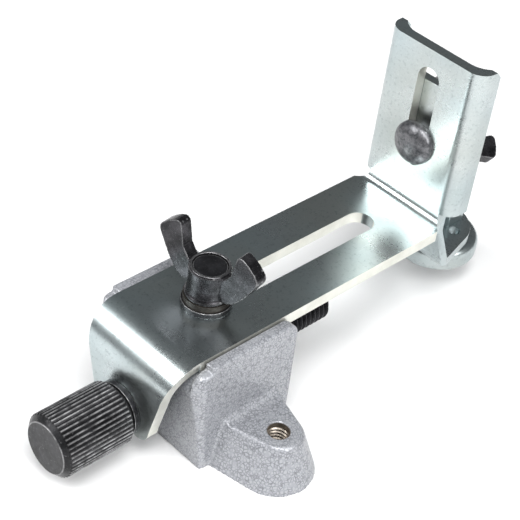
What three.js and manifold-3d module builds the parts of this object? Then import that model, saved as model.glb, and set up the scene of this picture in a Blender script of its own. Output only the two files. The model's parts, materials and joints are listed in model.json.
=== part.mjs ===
// Screw-adjusted slotted guide bracket on a cast base, with a height-adjustable guide roller.
// Millimetres. Origin: where the clamp screw's axis meets the flat underside of the base.
// +Y runs along the slotted plate from the knurled knob to the upright, +X to the right, +Z up.
import * as THREE from 'three';
import { ConvexGeometry } from 'three/addons/geometries/ConvexGeometry.js';
import { mergeVertices } from 'three/addons/utils/BufferGeometryUtils.js';
import Module from 'manifold-3d';

const wasm = await Module();
wasm.setup();

// ---------------------------------------------------------------- driving sizes
const SEG = 48;                    // facets round a turned surface
const RUN = 0.05;                  // radial running clearance of a pin in its hole
const SLIP = 0.1;                  // clearance under a sliding face

// bent sheet bracket
const SHEET = 3.0;                 // sheet thickness of the bracket
const PLATE_W = 28.0;              // width of the slotted plate
const PLATE_TOP = 30.0;            // height of the plate's upper face
const FLANGE_Y = -23.0;            // front face of the down-turned flange
const FLANGE_BOTTOM = 6.4;         // lower end of the flange
const FLANGE_TIP_W = 18.4;         // flange width at its lower end
const FLANGE_CORNER = 3.5;         // radius of its lower corners
const FRONT_BEND_R = 8.9;          // outside radius of the front bend
const UPRIGHT_Y = 66.0;            // front face of the upright
const REAR_BEND_R = 2.0;           // inside radius of the rear bend
const UPRIGHT_TOP = 72.8;          // top edge of the upright
const UPRIGHT_W = 29.4;            // width over the turned-back edges
const ROLL_R = 4.2;                // outside radius of the turned-back edges
const ROLL_DEPTH = 6.9;            // depth of the turned-back edges from the front face
const ROLL_CHAMFER = 1.6;          // broken corner on top of each turned-back edge
const ROLL_INSIDE_R = 6.0;         // inside radius of the turned-back edges
const ROLL_LIP = 1.6;              // thickness they thin down to at the lip
const ROLL_LIP_ANGLE = -37.0;      // degrees, where the inside arc ends and the lip starts
const NECK_W = 22.8;               // width left between the bend reliefs
const RELIEF = 2.6;                // length of the reliefs ahead of the upright
const ROLL_BOTTOM = 32.4;          // lower end of the turned-back edges
const PLATE_SLOT_W = 7.2;          // clamp slot in the plate
const PLATE_SLOT_FRONT = -1.6;     // centre of its front end
const PLATE_SLOT_REAR = 50.4;      // centre of its rear end
const UPRIGHT_SLOT_W = 6.4;        // slot in the upright
const UPRIGHT_SLOT_LOW = 44.2;     // centre of its lower end, hidden by the bolt's head
const UPRIGHT_SLOT_HIGH = 65.0;    // centre of its upper end

// cast base
const BASE_FRONT = -17.1;          // front wall at shoulder height
const BASE_FRONT_FOOT = -14.2;     // front wall at the underside
const BASE_REAR = 12.9;            // rear wall
const BASE_W = 34.0;               // width over the rails
const BASE_DRAFT = 0.8;            // how far each side wall spreads down to the underside
const RAIL_TOP = 29.6;             // top of the side rails
const RAIL_FRONT = -12.9;          // front ends of the rails
const CHEEK_TOP = 28.2;            // top of the cheeks ahead of the rails
const CHEEK_R = 4.0;               // rounding of the cheeks under the bend
const RAIL_REAR_R = 3.4;           // rounding at the rear ends of the rails
const CHANNEL_CLEAR = 0.4;         // side clearance of the plate between the rails
const BASE_CORNER_R = 4.6;         // front upright corners
const BASE_REAR_CORNER_R = 1.2;    // rear upright corners
const EAR_X = 26.7;                // centre of the tapped hole in the ear
const EAR_TOP = 11.2;              // height of the ear
const EAR_R = 5.4;                 // end radius of the ear at the top
const EAR_FOOT_R = 9.7;            // end radius of the ear at the underside
const EAR_ROOT = 8.8;              // half width of the ear at the wall, at the top
const EAR_FOOT_ROOT = 12.0;        // half width of the ear at the wall, at the underside
const EAR_EDGE_RISE = 0.7;         // rise of the broken edge round the top of the ear
const EAR_EDGE_OUT = 0.5;          // how far it stands outside the ear's top outline
const EAR_EDGE_IN = 0.2;           // how far the flat top stays inside it
const EAR_FILLET = 2.6;            // fillet between the side wall and the ear
const EAR_FILLET_END = 0.6;        // how far it stops short of the ear's sides
const EAR_HOLE_R = 2.65;           // tapped hole in the ear

// lead screw and knob
const SCREW_Z = 11.2;              // height of the lead screw's axis
const SCREW_R = 5.0;               // thread outside radius
const SCREW_END = 39.2;            // rear end of the thread
const JOURNAL_R = 3.2;             // plain journal through the flange
const KNOB_R = 7.7;                // over the knurl
const KNOB_REAR = -25.4;           // knurled part, flange side
const KNOB_FRONT = -43.9;          // knurled part, outer face
const KNOB_CHAMFER = 1.5;
const KNURL_COUNT = 44;
const KNURL_DEPTH = 0.45;
const KNOB_BOSS_R = 6.0;           // boss between the knob and the thrust washer
const THRUST_WASHER_R = 6.6;
const THRUST_WASHER_T = 1.4;
const JOURNAL_DEPTH = 11.0;        // how far the journal reaches into the knob
const GRUB_R = 2.0;                // grub screw that holds the knob
const GRUB_Y = -31.0;

// six millimetre fasteners
const M6_R = 3.0;
const M6_WASHER_R = 5.9;
const M6_WASHER_T = 1.4;
const M6_LOCK_R = 5.5;
const M6_LOCK_T = 1.6;
const M6_WASHER_BORE = 3.2;
const LOCK_GAP = 1.0;              // gap in a split lock washer
const HUB_H = 7.9;                 // hub height of the wing fasteners
const HUB_R = 4.9;
const HUB_FOOT_R = 5.3;
const WING_T = 3.3;                // wing thickness
const WING_TURN = 7.0;             // degrees the clamp wings stand off the X axis
const STUD_HEAD_R = 4.05;          // head of the clamp stud, sunk in the hub
const STUD_HEAD_T = 1.3;
const STUD_BOTTOM = 19.0;          // lower end of the clamp stud
const STUD_HOLE_BOTTOM = 18.2;     // bottom of its tapped hole
const NUT_TURN = -33.0;            // degrees the rear wings stand off the X axis
const NUT_SCALE = 0.9;             // the rear wing nut beside the clamp's wing head

// guide plate
const GUIDE_GAP = 0.1;             // gap between the upright and the guide plate
const GUIDE_T = 2.5;
const GUIDE_EDGE_BREAK = 0.9;      // chamfer that clears the inside of the turned-back edges
const GUIDE_TRAVEL = 8.0;          // how far the guide plate slides up
const GUIDE_TOP = 62.7;
const GUIDE_FLARE_GAP = 0.3;       // left under the turned-back edges at the top of its travel
const GUIDE_SEAT = 0.9;            // share of the free width that its flat front takes
const TAB_BOTTOM = 14.8;
const TAB_W = 26.6;                // width at the bend
const TAB_BEND_R = 2.9;            // outside radius of the bend
const TAB_END_R = 11.2;            // radius of the tab's end
const TAB_LENGTH = 21.5;           // from the guide plate's front face to the end of the tab
const TAB_NARROW_W = 21.2;         // width where the end radius starts
const TAB_HOLE_X = 6.8;
const TAB_HOLE_Y = 82.0;
const TAB_HOLE_R = 1.7;
const BOLT_Z = 47.4;               // height of the round-head bolt
const BOLT_HEAD_R = 5.6;
const BOLT_HEAD_H = 3.3;
const BOLT_NECK = 6.2;             // square neck that slides in the upright's slot
const BOLT_TAIL = 1.6;             // thread standing out of the wing nut

// guide roller
const ROLLER_Y = 84.6;
const ROLLER_R = 11.2;
const ROLLER_TOP_R = 9.2;
const ROLLER_H = 6.4;
const ROLLER_RECESS_R = 6.7;
const ROLLER_RECESS = 2.8;
const SHOULDER_R = 4.0;
const ROLLER_SHAKE = 0.1;          // end clearance of the roller
const SPACER_R = 7.0;
const SPACER_T = 1.9;
const PIVOT_HEAD_R = 6.0;
const PIVOT_HEAD_H = 2.3;
const PIVOT_NUT_H = 5.0;
const PIVOT_NUT_FLATS = 10.0;
const SOCKET_R = 2.3;              // hexagon socket, across corners

// ---------------------------------------------------------------- materials
const paint = (color, roughness, metalness) =>
  new THREE.MeshStandardMaterial({ color, roughness, metalness });
const ZINC = [0xc3cbd0, 0.34, 0.85];
const CASTING = [0xb9b9c0, 0.5, 0.2];
const BLACKED = [0x2b2b2d, 0.45, 0.7];
const BLACK_CAST = [0x3a393c, 0.5, 0.6];
const PHOSPHATE = [0x45464a, 0.6, 0.5];
const STEEL = [0xa7a9ab, 0.35, 0.9];

// ---------------------------------------------------------------- shape helpers
const ALONG_X = new THREE.Matrix4().makeBasis(
  new THREE.Vector3(0, 1, 0), new THREE.Vector3(0, 0, 1), new THREE.Vector3(1, 0, 0));
const ALONG_Y = new THREE.Matrix4().makeBasis(
  new THREE.Vector3(1, 0, 0), new THREE.Vector3(0, 0, 1), new THREE.Vector3(0, -1, 0));

const MIRROR_X = new THREE.Matrix4().makeScale(-1, 1, 1);

// a mirrored body needs its triangles turned round to keep facing out
function flipped(geometry) {
  const bare = geometry.index ? geometry.toNonIndexed() : geometry;
  const place = bare.attributes.position;
  for (let i = 0; i < place.count; i += 3) {
    const a = new THREE.Vector3().fromBufferAttribute(place, i + 1);
    const b = new THREE.Vector3().fromBufferAttribute(place, i + 2);
    place.setXYZ(i + 1, b.x, b.y, b.z);
    place.setXYZ(i + 2, a.x, a.y, a.z);
  }
  return bare;
}

function solid(geometry) {
  const bare = geometry.index ? geometry.toNonIndexed() : geometry.clone();
  bare.deleteAttribute('normal');
  bare.deleteAttribute('uv');
  const welded = mergeVertices(bare, 1e-4);
  const index = welded.index.array;
  const kept = [];
  for (let i = 0; i < index.length; i += 3) {
    const [a, b, c] = [index[i], index[i + 1], index[i + 2]];
    if (a !== b && b !== c && a !== c) kept.push(a, b, c);
  }
  const mesh = new wasm.Mesh({
    numProp: 3,
    vertProperties: new Float32Array(welded.attributes.position.array),
    triVerts: new Uint32Array(kept),
  });
  return new wasm.Manifold(mesh);
}

// outline in X and Y, standing from z0 to z1
function prism(shape, z0, z1, curves = 12) {
  const settings = { depth: z1 - z0, bevelEnabled: false, curveSegments: curves };
  const geometry = new THREE.ExtrudeGeometry(shape, settings);
  geometry.translate(0, 0, z0);
  return geometry;
}

// outline in Y and Z, running from x0 to x1
function prismX(shape, x0, x1, curves = 12) {
  return prism(shape, x0, x1, curves).applyMatrix4(ALONG_X);
}

// outline in X and Z, running from y0 to y1
function prismY(shape, y0, y1, curves = 12) {
  return prism(shape, -y1, -y0, curves).applyMatrix4(ALONG_Y);
}

function polygon(points) {
  return new THREE.Shape(points.map(([x, y]) => new THREE.Vector2(x, y)));
}

function box(x0, x1, y0, y1, z0, z1) {
  const geometry = new THREE.BoxGeometry(x1 - x0, y1 - y0, z1 - z0);
  return geometry.translate((x0 + x1) / 2, (y0 + y1) / 2, (z0 + z1) / 2);
}

// round bar on the Z axis
function bar(r, z0, z1, seg = SEG) {
  return new THREE.CylinderGeometry(r, r, z1 - z0, seg)
    .rotateX(Math.PI / 2)
    .translate(0, 0, (z0 + z1) / 2);
}

// turned body on the Z axis from a closed or axis-to-axis outline of [radius, height]
function turned(points, seg = SEG) {
  const outline = points.map(([r, z]) => new THREE.Vector2(r, z));
  return new THREE.LatheGeometry(outline, seg).rotateX(Math.PI / 2);
}

// stand a Z-axis body on the +Y direction, its z = 0 at y
function onY(geometry, x, y, z, turn = 0) {
  return geometry.rotateZ(THREE.MathUtils.degToRad(turn)).rotateX(-Math.PI / 2).translate(x, y, z);
}

function slotPrism(width, c0, c1, along) {
  const r = width / 2;
  const shape = new THREE.Shape();
  shape.moveTo(-r, c0);
  shape.absarc(0, c0, r, Math.PI, 2 * Math.PI, false);
  shape.absarc(0, c1, r, 0, Math.PI, false);
  shape.closePath();
  return along(shape);
}

const group = new THREE.Group();
group.name = 'adjustable_guide_bracket';

function piece(name, body, material) {
  const out = body.getMesh();
  const geometry = new THREE.BufferGeometry();
  const positions = new Float32Array(out.numVert * 3);
  for (let i = 0; i < out.numVert; i += 1) {
    for (let k = 0; k < 3; k += 1) positions[3 * i + k] = out.vertProperties[out.numProp * i + k];
  }
  geometry.setAttribute('position', new THREE.BufferAttribute(positions, 3));
  geometry.setIndex(new THREE.BufferAttribute(new Uint32Array(out.triVerts), 1));
  geometry.computeVertexNormals();
  const mesh = new THREE.Mesh(geometry, paint(...material));
  mesh.name = name;
  group.add(mesh);
}

// ---------------------------------------------------------------- base casting
function baseCasting() {
  const side = new THREE.Shape();
  side.moveTo(BASE_FRONT_FOOT, 0);
  side.lineTo(BASE_REAR, 0);
  side.lineTo(BASE_REAR, RAIL_TOP - RAIL_REAR_R);
  side.absarc(BASE_REAR - RAIL_REAR_R, RAIL_TOP - RAIL_REAR_R, RAIL_REAR_R, 0, Math.PI / 2, false);
  side.lineTo(RAIL_FRONT, RAIL_TOP);
  side.lineTo(RAIL_FRONT, CHEEK_TOP);
  side.lineTo(BASE_FRONT + CHEEK_R, CHEEK_TOP);
  side.absarc(BASE_FRONT + CHEEK_R, CHEEK_TOP - CHEEK_R, CHEEK_R, Math.PI / 2, Math.PI, false);
  side.closePath();
  const half = BASE_W / 2;
  const foot = half + BASE_DRAFT;
  const face = polygon([[-foot, 0], [foot, 0], [half, RAIL_TOP + 1], [-half, RAIL_TOP + 1]]);
  const plan = new THREE.Shape();
  const corner = BASE_CORNER_R;
  const rear = BASE_REAR_CORNER_R;
  plan.moveTo(-foot + corner, BASE_FRONT);
  plan.lineTo(foot - corner, BASE_FRONT);
  plan.absarc(foot - corner, BASE_FRONT + corner, corner, -Math.PI / 2, 0, false);
  plan.absarc(foot - rear, BASE_REAR - rear, rear, 0, Math.PI / 2, false);
  plan.absarc(-foot + rear, BASE_REAR - rear, rear, Math.PI / 2, Math.PI, false);
  plan.absarc(-foot + corner, BASE_FRONT + corner, corner, Math.PI, 1.5 * Math.PI, false);
  let body = solid(prismX(side, -foot - 1, foot + 1));
  body = body.intersect(solid(prismY(face, BASE_FRONT - 1, BASE_REAR + 1)));
  body = body.intersect(solid(prism(plan, -1, RAIL_TOP + 1, 8)));
  body = body.add(ear());
  body = body.add(earFillet());
  body = body.subtract(channel());
  body = body.subtract(solid(bar(M6_R + RUN, STUD_HOLE_BOTTOM, PLATE_TOP)));
  const bore = bar(SCREW_R + RUN, 0, BASE_REAR - BASE_FRONT + 4);
  body = body.subtract(solid(onY(bore, 0, BASE_FRONT - 2, SCREW_Z)));
  return body.subtract(solid(bar(EAR_HOLE_R, -1, EAR_TOP + 1, 32).translate(EAR_X, 0, 0)));
}

// channel between the rails; its floor rolls down at the front to clear the bend
function channel() {
  const half = PLATE_W / 2 + CHANNEL_CLEAR;
  const floor = PLATE_TOP - SHEET - SLIP;
  const inside = FRONT_BEND_R - SHEET;
  const centreY = BASE_FRONT + inside - 0.4;
  const centreZ = floor - inside + 0.4;
  const cut = new THREE.Shape();
  cut.moveTo(BASE_REAR + 5, PLATE_TOP + 5);
  cut.lineTo(BASE_FRONT - 5, PLATE_TOP + 5);
  cut.lineTo(BASE_FRONT - 5, centreZ);
  cut.lineTo(centreY - inside + 0.4, centreZ);
  cut.absarc(centreY, centreZ, inside - 0.4, Math.PI, Math.PI / 2, true);
  cut.lineTo(BASE_REAR + 5, floor);
  cut.closePath();
  return solid(prismX(cut, -half, half));
}

// drafted ear with a rounded end, wider at the underside
function ear() {
  const levels = [
    [0, EAR_FOOT_R, EAR_FOOT_ROOT],
    [EAR_TOP - EAR_EDGE_RISE, EAR_R + EAR_EDGE_OUT, EAR_ROOT + EAR_EDGE_OUT],
    [EAR_TOP, EAR_R - EAR_EDGE_IN, EAR_ROOT - EAR_EDGE_IN],
  ];
  const root = BASE_W / 2 - 1;
  const points = [];
  for (const [z, r, half] of levels) {
    for (let i = 0; i <= 20; i += 1) {
      const angle = (i / 20 - 0.5) * Math.PI;
      points.push(new THREE.Vector3(EAR_X + r * Math.cos(angle), r * Math.sin(angle), z));
    }
    points.push(new THREE.Vector3(root, half, z), new THREE.Vector3(root, -half, z));
  }
  return solid(new ConvexGeometry(points));
}

function earFillet() {
  const wall = BASE_W / 2 + BASE_DRAFT * (1 - EAR_TOP / (RAIL_TOP + 1)) - 0.2;
  const shape = new THREE.Shape();
  shape.moveTo(wall - 1, EAR_TOP - 1);
  shape.lineTo(wall + EAR_FILLET, EAR_TOP - 1);
  shape.lineTo(wall + EAR_FILLET, EAR_TOP);
  shape.absarc(wall + EAR_FILLET, EAR_TOP + EAR_FILLET, EAR_FILLET, 1.5 * Math.PI, Math.PI, true);
  shape.lineTo(wall - 1, EAR_TOP + EAR_FILLET);
  shape.closePath();
  const half = EAR_ROOT - EAR_FILLET_END;
  return solid(prismY(shape, -half, half, 6));
}

// ---------------------------------------------------------------- bent bracket
function slottedBracket() {
  const half = PLATE_W / 2;
  const under = PLATE_TOP - SHEET;
  const frontBendY = FLANGE_Y + FRONT_BEND_R;
  const rearBendY = UPRIGHT_Y - REAR_BEND_R;
  // plate, both bends and the flange share one side outline
  const side = new THREE.Shape();
  side.moveTo(FLANGE_Y, FLANGE_BOTTOM);
  side.lineTo(FLANGE_Y + SHEET, FLANGE_BOTTOM);
  side.lineTo(FLANGE_Y + SHEET, PLATE_TOP - FRONT_BEND_R);
  side.absarc(frontBendY, PLATE_TOP - FRONT_BEND_R, FRONT_BEND_R - SHEET, Math.PI, Math.PI / 2, true);
  side.lineTo(rearBendY, under);
  side.absarc(rearBendY, PLATE_TOP + REAR_BEND_R, REAR_BEND_R + SHEET, -Math.PI / 2, 0, false);
  side.lineTo(UPRIGHT_Y + SHEET, ROLL_BOTTOM + 1);
  side.lineTo(UPRIGHT_Y, ROLL_BOTTOM + 1);
  side.lineTo(UPRIGHT_Y, PLATE_TOP + REAR_BEND_R);
  side.absarc(rearBendY, PLATE_TOP + REAR_BEND_R, REAR_BEND_R, 0, -Math.PI / 2, true);
  side.lineTo(frontBendY, PLATE_TOP);
  side.absarc(frontBendY, PLATE_TOP - FRONT_BEND_R, FRONT_BEND_R, Math.PI / 2, Math.PI, false);
  side.closePath();
  let body = solid(prismX(side, -half, half, 16));
  // the flange narrows to rounded lower corners
  const tip = FLANGE_TIP_W / 2;
  const r = FLANGE_CORNER;
  for (const hand of [1, -1]) {
    const waste = new THREE.Shape();
    waste.moveTo(0, FLANGE_BOTTOM - 1);
    waste.lineTo(half + 1, FLANGE_BOTTOM - 1);
    waste.lineTo(half + 1, PLATE_TOP - 0.5);
    waste.lineTo(half, PLATE_TOP - 0.5);
    waste.lineTo(tip, FLANGE_BOTTOM + r);
    waste.absarc(tip - r, FLANGE_BOTTOM + r, r, 0, -Math.PI / 2, true);
    waste.lineTo(0, FLANGE_BOTTOM);
    waste.closePath();
    const cutter = prismY(waste, FLANGE_Y - 1, frontBendY);
    if (hand < 0) cutter.applyMatrix4(MIRROR_X);
    body = body.subtract(hand < 0 ? solid(flipped(cutter)) : solid(cutter));
  }
  // reliefs each side of the rear bend
  const neck = NECK_W / 2;
  const start = UPRIGHT_Y - RELIEF;
  for (const hand of [1, -1]) {
    const shape = polygon([
      [hand * (half + 1), start - 1], [hand * (half + 1), UPRIGHT_Y + SHEET + 1],
      [hand * neck, UPRIGHT_Y + SHEET + 1], [hand * neck, start + half - neck],
      [hand * half, start],
    ]);
    body = body.subtract(solid(prism(shape, 0, PLATE_TOP + 20)));
  }
  body = body.add(upright());
  const plateSlot = slotPrism(PLATE_SLOT_W, PLATE_SLOT_FRONT, PLATE_SLOT_REAR,
    (shape) => prism(shape, under - 1, PLATE_TOP + 1));
  body = body.subtract(solid(plateSlot));
  const uprightSlot = slotPrism(UPRIGHT_SLOT_W, UPRIGHT_SLOT_LOW, UPRIGHT_SLOT_HIGH,
    (shape) => prismY(shape, UPRIGHT_Y - 1, UPRIGHT_Y + SHEET + 1));
  body = body.subtract(solid(uprightSlot));
  const hole = bar(JOURNAL_R + RUN, 0, SHEET + 2);
  return body.subtract(solid(onY(hole, 0, FLANGE_Y - 1, SCREW_Z)));
}

// the inside of a turned-back edge: its arc's centre and the angle at which the lip starts
function rollInside() {
  const lip = UPRIGHT_W / 2 - ROLL_LIP;
  const centreY = UPRIGHT_Y + SHEET + ROLL_INSIDE_R;
  const lipAngle = THREE.MathUtils.degToRad(ROLL_LIP_ANGLE);
  const centreX = lip - ROLL_INSIDE_R * Math.cos(lipAngle);
  return { lip, centreX, centreY, lipAngle };
}

// shallow channel: flat web, both edges turned back and thinned to a lip
function upright() {
  const half = UPRIGHT_W / 2;
  const turnX = half - ROLL_R;
  const turnY = UPRIGHT_Y + ROLL_R;
  const back = UPRIGHT_Y + ROLL_DEPTH;
  const { lip, centreX, centreY, lipAngle } = rollInside();
  const shape = new THREE.Shape();
  shape.moveTo(-turnX, UPRIGHT_Y);
  shape.lineTo(turnX, UPRIGHT_Y);
  shape.absarc(turnX, turnY, ROLL_R, -Math.PI / 2, 0, false);
  shape.lineTo(half, back);
  shape.lineTo(lip, back);
  shape.absarc(centreX, centreY, ROLL_INSIDE_R, lipAngle, -Math.PI / 2, true);
  shape.absarc(-centreX, centreY, ROLL_INSIDE_R, -Math.PI / 2, Math.PI - lipAngle, true);
  shape.lineTo(-lip, back);
  shape.lineTo(-half, back);
  shape.absarc(-turnX, turnY, ROLL_R, -Math.PI, -Math.PI / 2, false);
  shape.closePath();
  const cut = polygon([
    [back + 1, UPRIGHT_TOP + 1], [back + 1, UPRIGHT_TOP - ROLL_CHAMFER - 1],
    [back, UPRIGHT_TOP - ROLL_CHAMFER], [back - ROLL_CHAMFER, UPRIGHT_TOP],
    [back - ROLL_CHAMFER, UPRIGHT_TOP + 1],
  ]);
  return solid(prism(shape, ROLL_BOTTOM, UPRIGHT_TOP, 10)).subtract(solid(prismX(cut, -half - 1, half + 1)));
}

// ---------------------------------------------------------------- lead screw and knob
function leadScrew() {
  const shoulder = FLANGE_Y + SHEET + SLIP;
  const front = KNOB_REAR - JOURNAL_DEPTH;
  const profile = [
    [0, front], [JOURNAL_R - 0.4, front], [JOURNAL_R, front + 0.4], [JOURNAL_R, shoulder],
    [SCREW_R - 0.8, shoulder], [SCREW_R, shoulder + 0.8], [SCREW_R, SCREW_END - 0.9],
    [SCREW_R - 0.9, SCREW_END], [0, SCREW_END],
  ];
  return solid(onY(turned(profile), 0, 0, SCREW_Z));
}

function knurledKnob() {
  const root = KNOB_R - KNURL_DEPTH;
  const outline = [];
  for (let i = 0; i < KNURL_COUNT; i += 1) {
    const a = (i / KNURL_COUNT) * 2 * Math.PI;
    const b = ((i + 0.5) / KNURL_COUNT) * 2 * Math.PI;
    outline.push([KNOB_R * Math.cos(a), KNOB_R * Math.sin(a)]);
    outline.push([root * Math.cos(b), root * Math.sin(b)]);
  }
  let body = solid(onY(prism(polygon(outline), KNOB_FRONT, KNOB_REAR), 0, 0, SCREW_Z));
  const rim = 0.6;
  const envelope = [
    [0, KNOB_FRONT], [KNOB_R - KNOB_CHAMFER, KNOB_FRONT], [KNOB_R, KNOB_FRONT + KNOB_CHAMFER],
    [KNOB_R + 0.1, KNOB_FRONT + KNOB_CHAMFER + 0.1], [KNOB_R + 0.1, KNOB_REAR - rim - 0.1],
    [KNOB_R - rim, KNOB_REAR], [0, KNOB_REAR],
  ];
  body = body.intersect(solid(onY(turned(envelope), 0, 0, SCREW_Z)));
  const bossEnd = FLANGE_Y - SLIP - THRUST_WASHER_T;
  body = body.add(solid(onY(bar(KNOB_BOSS_R, KNOB_REAR - 1, bossEnd), 0, 0, SCREW_Z)));
  const bore = bar(JOURNAL_R + RUN, KNOB_REAR - JOURNAL_DEPTH - 0.3, bossEnd + 1);
  body = body.subtract(solid(onY(bore, 0, 0, SCREW_Z)));
  return body.subtract(solid(grubBar(GRUB_R + RUN, JOURNAL_R - 0.5, KNOB_R + 1)));
}

// radial bar pointing down from the knob's axis
function grubBar(r, from, to) {
  return bar(r, -to, -from, 24).translate(0, GRUB_Y, SCREW_Z);
}

function knobGrubScrew() {
  const tip = JOURNAL_R + RUN;
  const end = KNOB_R - KNURL_DEPTH - 0.4;
  const body = solid(grubBar(GRUB_R, tip, end));
  const socket = bar(1.1, SCREW_Z - end - 1, SCREW_Z - end + 1.6, 6).translate(0, GRUB_Y, 0);
  return body.subtract(solid(socket));
}

function thrustWasher() {
  const front = FLANGE_Y - SLIP - THRUST_WASHER_T;
  const ring = solid(bar(THRUST_WASHER_R, 0, THRUST_WASHER_T)).subtract(
    solid(bar(JOURNAL_R + RUN, -1, THRUST_WASHER_T + 1)));
  return ring.rotate([-90, 0, 0]).translate([0, front, SCREW_Z]);
}

// ---------------------------------------------------------------- wing fasteners, on the Z axis from z = 0
function wingOutline() {
  const shape = new THREE.Shape();
  shape.moveTo(3.6, 1.3);
  shape.lineTo(6.4, 1.4);
  shape.bezierCurveTo(8.4, 2.2, 9.8, 4.0, 11.2, 6.1);
  shape.lineTo(13.5, 10.2);
  shape.bezierCurveTo(14.1, 11.2, 14.0, 12.0, 13.2, 12.8);
  shape.bezierCurveTo(11.9, 14.2, 10.4, 15.2, 9.2, 15.6);
  shape.bezierCurveTo(8.4, 15.7, 8.0, 15.2, 7.8, 14.4);
  shape.lineTo(6.8, 9.6);
  shape.lineTo(5.0, 7.2);
  shape.lineTo(3.6, 7.2);
  shape.closePath();
  return shape;
}

function wingBody(bore, recessR, recess, scale = 1) {
  const profile = [
    [0, 0], [HUB_FOOT_R, 0], [HUB_FOOT_R, 0.7], [HUB_R, 1.1], [HUB_R - 0.2, 3],
    [HUB_R - 0.1, 6.4], [HUB_R, HUB_H - 0.5], [HUB_R - 0.3, HUB_H], [0, HUB_H],
  ];
  let body = solid(turned(profile));
  const wing = prismY(wingOutline(), -WING_T / 2, WING_T / 2, 8);
  body = body.add(solid(wing.clone()));
  body = body.add(solid(wing.rotateZ(Math.PI)));
  body = body.scale([scale, scale, scale]);
  body = body.subtract(solid(bar(recessR, HUB_H * scale - recess, HUB_H + 10)));
  return body.subtract(solid(bar(bore, -1, HUB_H + 1)));
}

function lockWasher() {
  const ring = solid(bar(M6_LOCK_R, 0, M6_LOCK_T)).subtract(solid(bar(M6_R + 0.15, -1, M6_LOCK_T + 1)));
  const lean = 0.5;
  const gap = polygon([
    [-LOCK_GAP / 2 - lean, -1], [LOCK_GAP / 2 - lean, -1],
    [LOCK_GAP / 2 + lean, M6_LOCK_T + 1], [-LOCK_GAP / 2 + lean, M6_LOCK_T + 1],
  ]);
  return ring.subtract(solid(prismY(gap, 0, M6_LOCK_R + 1)));
}

function flatWasher() {
  return solid(bar(M6_WASHER_R, 0, M6_WASHER_T)).subtract(solid(bar(M6_WASHER_BORE, -1, M6_WASHER_T + 1)));
}

const stack = M6_WASHER_T + M6_LOCK_T;
const hubFoot = PLATE_TOP + stack;
const recess = STUD_HEAD_T + 0.4;

function clampStud() {
  const headTop = hubFoot + HUB_H - 0.4;
  const neck = headTop - STUD_HEAD_T;
  const profile = [
    [0, STUD_BOTTOM], [M6_R - 0.6, STUD_BOTTOM], [M6_R, STUD_BOTTOM + 0.6], [M6_R, neck],
    [STUD_HEAD_R, neck], [STUD_HEAD_R, headTop - 0.2], [STUD_HEAD_R - 0.2, headTop], [0, headTop],
  ];
  return solid(turned(profile));
}

// ---------------------------------------------------------------- guide plate and its clamp
const guideFront = UPRIGHT_Y + SHEET + GUIDE_GAP;
const guideBack = guideFront + GUIDE_T;

function guidePlate() {
  // its flat front reaches as far as the turned-back edges leave the gap open
  const seat = rollInside().centreX + GUIDE_SEAT * Math.sqrt(2 * ROLL_INSIDE_R * GUIDE_GAP);
  const half = seat + GUIDE_EDGE_BREAK;
  const flareTop = ROLL_BOTTOM - GUIDE_TRAVEL - GUIDE_FLARE_GAP;
  const bendY = guideFront + TAB_BEND_R;
  const bendZ = TAB_BOTTOM + TAB_BEND_R;
  const tabHalf = TAB_W / 2;
  const end = guideFront + TAB_LENGTH;
  const side = new THREE.Shape();
  side.moveTo(guideFront, bendZ);
  side.absarc(bendY, bendZ, TAB_BEND_R, Math.PI, 1.5 * Math.PI, false);
  side.lineTo(end, TAB_BOTTOM);
  side.lineTo(end, TAB_BOTTOM + GUIDE_T);
  side.lineTo(bendY, TAB_BOTTOM + GUIDE_T);
  side.absarc(bendY, bendZ, TAB_BEND_R - GUIDE_T, 1.5 * Math.PI, Math.PI, true);
  side.lineTo(guideBack, GUIDE_TOP);
  side.lineTo(guideFront, GUIDE_TOP);
  side.closePath();
  let body = solid(prismX(side, -tabHalf, tabHalf));
  const face = polygon([
    [-tabHalf, 0], [tabHalf, 0], [tabHalf, bendZ], [half, flareTop], [half, GUIDE_TOP + 1],
    [-half, GUIDE_TOP + 1], [-half, flareTop], [-tabHalf, bendZ],
  ]);
  body = body.intersect(solid(prismY(face, guideFront - 1, end + 1)));
  const narrow = TAB_NARROW_W / 2;
  const centre = end - TAB_END_R;
  const angle = Math.acos(narrow / TAB_END_R);
  const plan = new THREE.Shape();
  plan.moveTo(-tabHalf, guideFront - 1);
  plan.lineTo(tabHalf, guideFront - 1);
  plan.lineTo(tabHalf, bendY);
  plan.absarc(0, centre, TAB_END_R, angle, Math.PI - angle, false);
  plan.lineTo(-tabHalf, bendY);
  plan.closePath();
  body = body.intersect(solid(prism(plan, 0, GUIDE_TOP + 1, 20)));
  const cut = GUIDE_EDGE_BREAK + 1;
  for (const hand of [1, -1]) {
    const corner = solid(box(-cut, cut, -cut, cut, flareTop, GUIDE_TOP + 1)).rotate([0, 0, 45]);
    const reach = cut * Math.SQRT2 - GUIDE_EDGE_BREAK;
    body = body.subtract(corner.translate([hand * (half + reach), guideFront, 0]));
  }
  body = body.subtract(solid(bar(M6_R + 0.1, 0, 25).translate(0, ROLLER_Y, 0)));
  for (const hand of [1, -1]) {
    body = body.subtract(solid(bar(TAB_HOLE_R, 0, 25, 24).translate(hand * TAB_HOLE_X, TAB_HOLE_Y, 0)));
  }
  const neck = BOLT_NECK / 2 + RUN;
  return body.subtract(solid(box(-neck, neck, guideFront - 1, guideBack + 1, BOLT_Z - neck, BOLT_Z + neck)));
}

const rearHub = guideBack + stack;

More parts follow.
